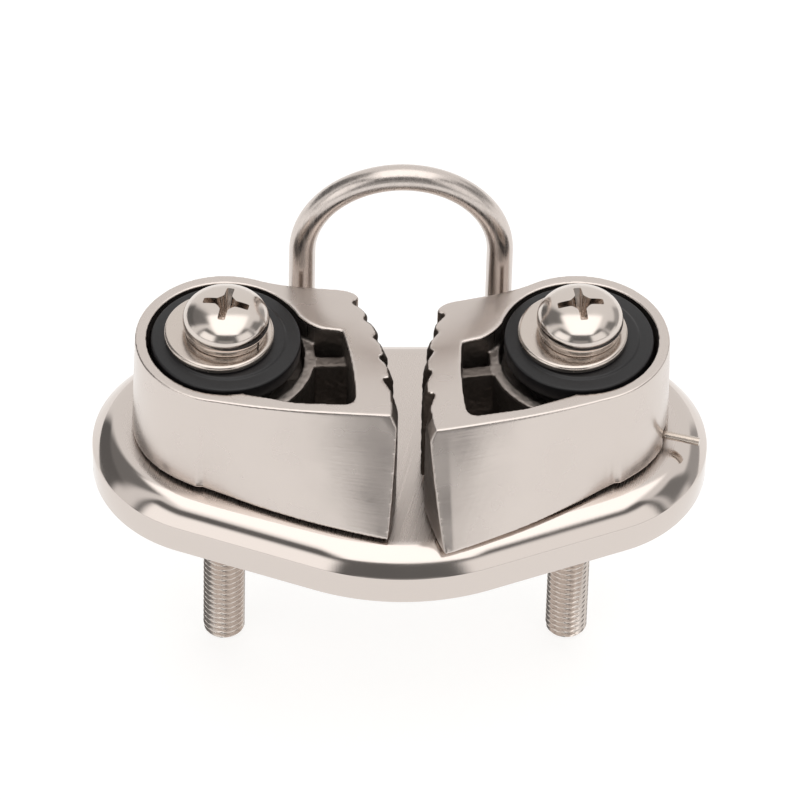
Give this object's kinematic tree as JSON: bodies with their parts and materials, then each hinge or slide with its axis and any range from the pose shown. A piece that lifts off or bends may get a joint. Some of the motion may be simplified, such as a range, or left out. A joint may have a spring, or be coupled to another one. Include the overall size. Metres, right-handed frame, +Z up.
{
  "type": "cam cleat",
  "caption": "Cam cleat: a polished base plate carries two toothed, sprung cams that grip a rope between them, with a bent lead ring behind and long screws through the pivots.",
  "frame": {"origin": "underside of the base plate, midway between the two pivot screws", "axes": "+Z up out of the deck, +X from the left cam to the right cam, +Y from the blunt nose to the lead ring"},
  "size_m": [0.0704, 0.0375, 0.0629],
  "materials": {
    "polished_stainless": "mirror-polished stainless steel with fine brushing marks",
    "cast_stainless": "investment-cast stainless steel, polished outside and rough inside",
    "turned_stainless": "turned stainless steel",
    "stamped_stainless": "stamped and tumbled stainless steel",
    "polished_screw": "bright stainless screw, rolled thread",
    "spring_steel": "drawn stainless spring wire",
    "black_acetal": "moulded black acetal, satin"
  },
  "bodies": {
    "base": {"base_plate": "polished_stainless", "lead_ring": "polished_stainless", "left_upper_bush": "black_acetal", "left_lower_bush": "black_acetal", "left_pivot_sleeve": "turned_stainless", "left_flat_washer": "stamped_stainless", "left_lock_washer": "stamped_stainless", "left_screw": "polished_screw", "right_upper_bush": "black_acetal", "right_lower_bush": "black_acetal", "right_pivot_sleeve": "turned_stainless", "right_flat_washer": "stamped_stainless", "right_lock_washer": "stamped_stainless", "right_screw": "polished_screw"},
    "left_cam": {"left_cam": "cast_stainless", "left_torsion_spring": "spring_steel"},
    "right_cam": {"right_cam": "cast_stainless", "right_torsion_spring": "spring_steel"}
  },
  "joints": [
    {"name": "left_cam_pivot", "type": "hinge", "parent": "base", "child": "left_cam", "pos_m": [-0.02, 0, 0.0135], "axis": [0, 0, 1], "range_deg": [-40, 0], "stiffness_Nm_per_rad": 0.06, "springref_deg": 20.05, "deforming": ["left_torsion_spring"]},
    {"name": "right_cam_pivot", "type": "hinge", "parent": "base", "child": "right_cam", "pos_m": [0.02, 0, 0.0135], "axis": [0, 0, 1], "range_deg": [-8, 32], "stiffness_Nm_per_rad": 0.06, "deforming": ["right_torsion_spring"]}
  ]
}
